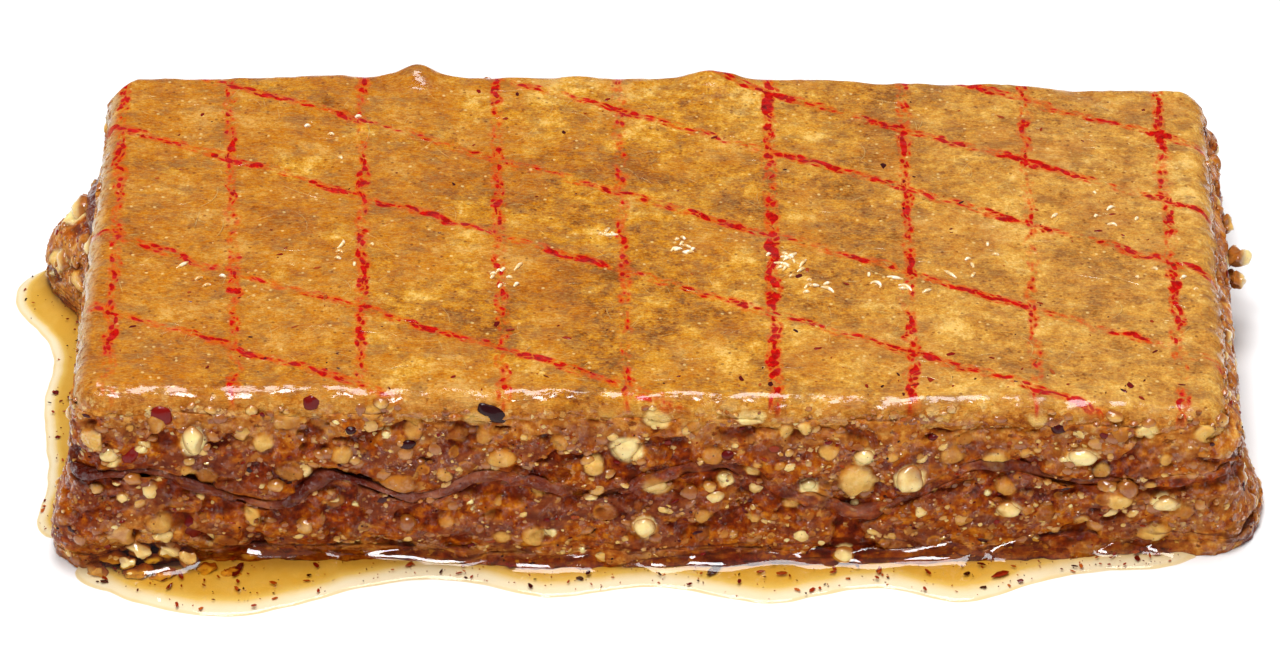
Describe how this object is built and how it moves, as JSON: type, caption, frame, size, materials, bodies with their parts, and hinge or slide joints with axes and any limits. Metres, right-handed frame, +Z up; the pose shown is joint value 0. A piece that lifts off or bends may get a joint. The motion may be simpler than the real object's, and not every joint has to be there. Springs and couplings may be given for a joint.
{
  "type": "baklava piece",
  "caption": "Oblong piece of layered nut baklava with a glazed crust of fine dough threads, a painted lattice, nut fillings showing at its cut sides and syrup run out at its foot.",
  "frame": {"origin": "bottom centre of the whole object's bounding box, on the surface it rests on", "axes": "+X along the long side, to the right seen from the front; -Y faces the front cut side; +Z up"},
  "size_m": [0.107, 0.0612, 0.0185],
  "materials": {
    "crust": "syrup-soaked golden dough threads, glossy, with a red lattice",
    "filling": "moist brown nut paste with pale nut pieces, glazed with syrup",
    "dough": "soaked translucent dough sheets",
    "syrup": "clear amber syrup, very glossy"
  },
  "bodies": {
    "root": {"top_sheets": "crust", "upper_filling": "filling", "middle_sheets": "dough", "lower_filling": "filling", "base_sheets": "dough", "syrup_front": "syrup", "syrup_left": "syrup"}
  },
  "joints": []
}
